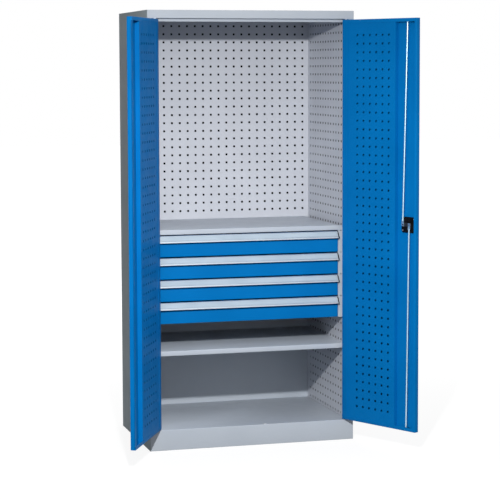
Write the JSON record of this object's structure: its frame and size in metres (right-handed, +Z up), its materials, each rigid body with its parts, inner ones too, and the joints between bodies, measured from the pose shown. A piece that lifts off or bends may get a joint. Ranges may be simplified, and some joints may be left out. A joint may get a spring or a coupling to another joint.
{
  "type": "workshop cabinet",
  "caption": "Tall two-door steel workshop cabinet with perforated doors, sides and back, a rod lock, a block of telescopic drawers and a shelf.",
  "frame": {"origin": "on the floor, in the middle of the carcass footprint", "axes": "+X to the right seen from the front, +Y from the doors towards the rear wall, +Z up"},
  "size_m": [1.3002, 1.0051, 1.95],
  "materials": {
    "grey_paint": "light grey powder coat",
    "blue_paint": "bright blue powder coat",
    "grip_grey": "satin drawn strip",
    "zinc": "bright zinc plate",
    "black_plastic": "fine grained black",
    "chrome": "polished"
  },
  "bodies": {
    "cabinet": {"roof_tray": "grey_paint", "floor_tray": "grey_paint", "rear_wall": "grey_paint", "anchor_brackets": "zinc", "perforated_back": "grey_paint", "left_side_wall": "grey_paint", "right_side_wall": "grey_paint", "left_perforated_side": "grey_paint", "right_perforated_side": "grey_paint", "left_hinge_pins": "zinc", "right_hinge_pins": "zinc", "lower_shelf": "grey_paint", "shelf_clips": "zinc", "drawer_block_left_wall": "grey_paint", "drawer_block_right_wall": "grey_paint", "drawer_block_top": "grey_paint", "drawer_outer_rails": "zinc"},
    "left_door": {"left_door_skin": "blue_paint", "left_door_perforated_panel": "blue_paint", "left_door_overlap_strip": "blue_paint", "left_door_pivot_blocks": "black_plastic"},
    "right_door": {"right_door_skin": "blue_paint", "right_door_perforated_panel": "blue_paint", "right_door_pivot_blocks": "black_plastic", "lock_case": "black_plastic", "handle_rosette": "black_plastic", "rod_guides": "black_plastic"},
    "lock_handle": {"turn_handle": "black_plastic", "lock_spindle": "zinc", "lock_cam": "zinc"},
    "lock_key": {"key_cylinder": "chrome"},
    "upper_rod": {"upper_lock_rod": "zinc"},
    "lower_rod": {"lower_lock_rod": "zinc"},
    "drawer_1": {"drawer_1_pan": "grey_paint", "drawer_1_front": "blue_paint", "drawer_1_grip": "grip_grey", "drawer_1_inner_rails": "zinc"},
    "drawer_1_slide": {"drawer_1_mid_rails": "zinc"},
    "drawer_2": {"drawer_2_pan": "grey_paint", "drawer_2_front": "blue_paint", "drawer_2_grip": "grip_grey", "drawer_2_inner_rails": "zinc"},
    "drawer_2_slide": {"drawer_2_mid_rails": "zinc"},
    "drawer_3": {"drawer_3_pan": "grey_paint", "drawer_3_front": "blue_paint", "drawer_3_grip": "grip_grey", "drawer_3_inner_rails": "zinc"},
    "drawer_3_slide": {"drawer_3_mid_rails": "zinc"},
    "drawer_4": {"drawer_4_pan": "grey_paint", "drawer_4_front": "blue_paint", "drawer_4_grip": "grip_grey", "drawer_4_inner_rails": "zinc"},
    "drawer_4_slide": {"drawer_4_mid_rails": "zinc"}
  },
  "joints": [
    {"name": "left_door_hinge", "type": "hinge", "parent": "cabinet", "child": "left_door", "pos_m": [-0.44, -0.294, 0], "axis": [0, 0, -1], "range_deg": [-117.2, 0]},
    {"name": "right_door_hinge", "type": "hinge", "parent": "cabinet", "child": "right_door", "pos_m": [0.44, -0.294, 0], "axis": [0, 0, 1], "range_deg": [-117.2, 0]},
    {"name": "handle_turn", "type": "hinge", "parent": "right_door", "child": "lock_handle", "pos_m": [0.60348, -0.63048, 1.01], "axis": [-0.8894, -0.4571, 0], "range_deg": [-90, 0]},
    {"name": "key_turn", "type": "hinge", "parent": "lock_handle", "child": "lock_key", "pos_m": [0.60348, -0.63048, 1.01], "axis": [-0.8894, -0.4571, 0], "range_deg": [0, 90]},
    {"name": "upper_rod_pin", "type": "hinge", "parent": "lock_handle", "child": "upper_rod", "pos_m": [0.59503, -0.61403, 1.01], "axis": [-0.8894, -0.4571, 0], "range_deg": [0, 91.2]},
    {"name": "lower_rod_pin", "type": "hinge", "parent": "lock_handle", "child": "lower_rod", "pos_m": [0.61194, -0.64694, 1.01], "axis": [-0.8894, -0.4571, 0], "range_deg": [0, 91.2]},
    {"name": "drawer_1_pull", "type": "slide", "parent": "cabinet", "child": "drawer_1", "axis": [0, -1, 0], "range_m": [0, 0.4]},
    {"name": "drawer_1_slide_pull", "type": "slide", "parent": "cabinet", "child": "drawer_1_slide", "axis": [0, -1, 0], "range_m": [0, 0.2]},
    {"name": "drawer_2_pull", "type": "slide", "parent": "cabinet", "child": "drawer_2", "axis": [0, -1, 0], "range_m": [0, 0.4]},
    {"name": "drawer_2_slide_pull", "type": "slide", "parent": "cabinet", "child": "drawer_2_slide", "axis": [0, -1, 0], "range_m": [0, 0.2]},
    {"name": "drawer_3_pull", "type": "slide", "parent": "cabinet", "child": "drawer_3", "axis": [0, -1, 0], "range_m": [0, 0.4]},
    {"name": "drawer_3_slide_pull", "type": "slide", "parent": "cabinet", "child": "drawer_3_slide", "axis": [0, -1, 0], "range_m": [0, 0.2]},
    {"name": "drawer_4_pull", "type": "slide", "parent": "cabinet", "child": "drawer_4", "axis": [0, -1, 0], "range_m": [0, 0.4]},
    {"name": "drawer_4_slide_pull", "type": "slide", "parent": "cabinet", "child": "drawer_4_slide", "axis": [0, -1, 0], "range_m": [0, 0.2]}
  ],
  "couplings": [
    {"joint": "upper_rod_pin", "follows": "handle_turn", "ratio": -1.013},
    {"joint": "lower_rod_pin", "follows": "handle_turn", "ratio": -1.013},
    {"joint": "drawer_1_slide_pull", "follows": "drawer_1_pull", "ratio": 0.5},
    {"joint": "drawer_2_slide_pull", "follows": "drawer_2_pull", "ratio": 0.5},
    {"joint": "drawer_3_slide_pull", "follows": "drawer_3_pull", "ratio": 0.5},
    {"joint": "drawer_4_slide_pull", "follows": "drawer_4_pull", "ratio": 0.5}
  ]
}
